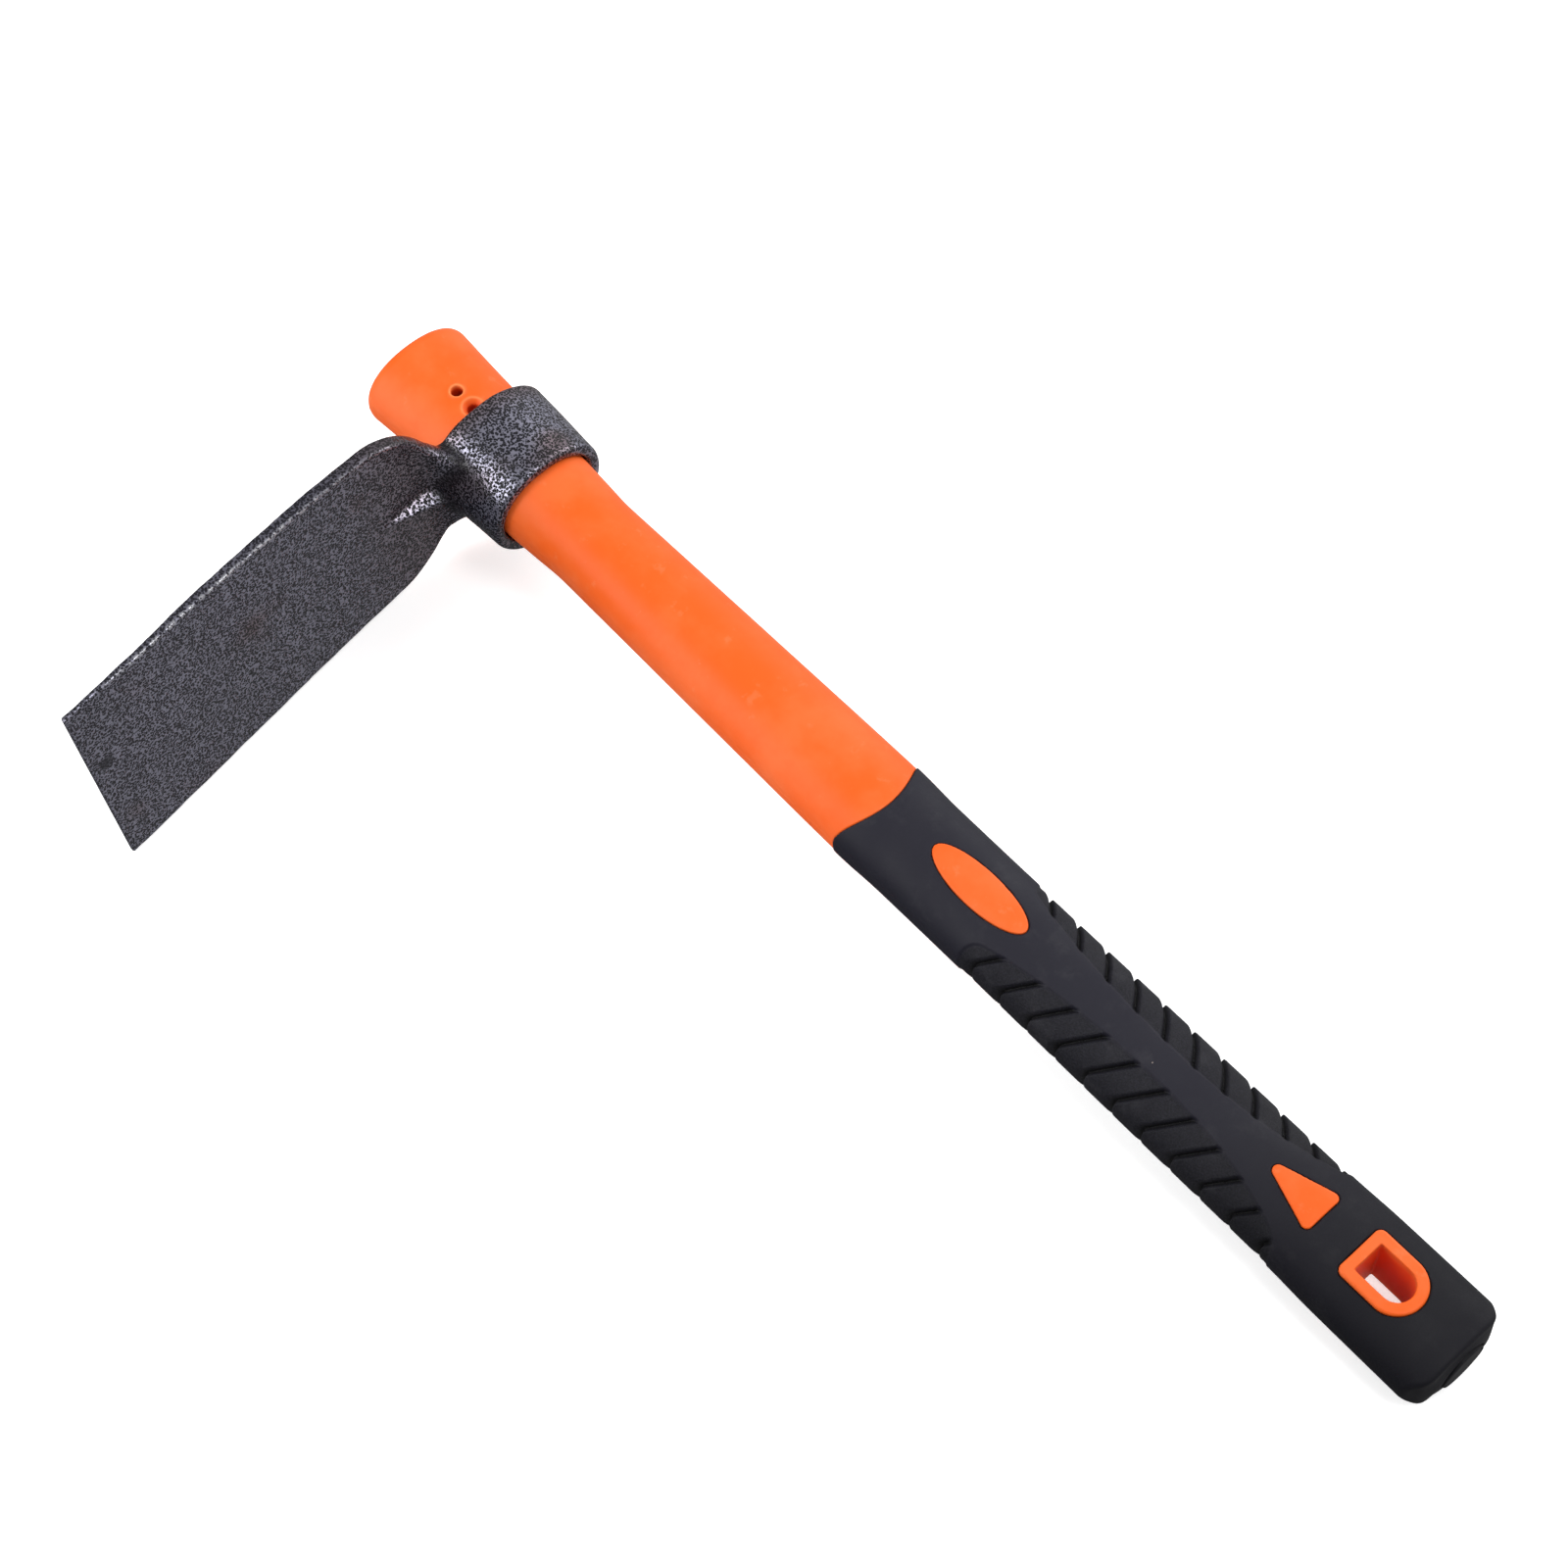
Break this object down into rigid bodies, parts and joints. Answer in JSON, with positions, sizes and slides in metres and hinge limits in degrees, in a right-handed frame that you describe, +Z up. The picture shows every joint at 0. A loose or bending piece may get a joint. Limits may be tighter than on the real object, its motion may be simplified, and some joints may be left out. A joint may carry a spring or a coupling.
{
  "type": "grub hoe",
  "caption": "Short-handled grub hoe: flat forged blade square to a flared fibreglass handle with an orange jacket and a ribbed rubber grip.",
  "frame": {"origin": "centre of the handle's top end face, on the handle's axis", "axes": "+X runs down the handle from the head to the butt; -Y is the way the blade points; Z is across the blade's width, so the tool lies on its side with +Z up"},
  "size_m": [0.401, 0.1666, 0.0756],
  "materials": {
    "hammered_paint": "black and silver hammertone paint over forged steel, satin",
    "orange_polypropylene": "moulded orange polypropylene, satin",
    "glass_fibre": "pultruded glass fibre and resin, cut end",
    "black_rubber": "soft black thermoplastic rubber, matte",
    "black_plastic": "moulded black plastic, satin"
  },
  "bodies": {
    "handle": {"handle_jacket": "orange_polypropylene", "fibreglass_core": "glass_fibre", "rubber_grip": "black_rubber", "butt_plug": "black_plastic"},
    "head": {"hoe_head": "hammered_paint"}
  },
  "joints": [
    {"name": "head_slide", "type": "slide", "parent": "handle", "child": "head", "axis": [1, 0, 0], "range_m": [0, 0.13]}
  ]
}
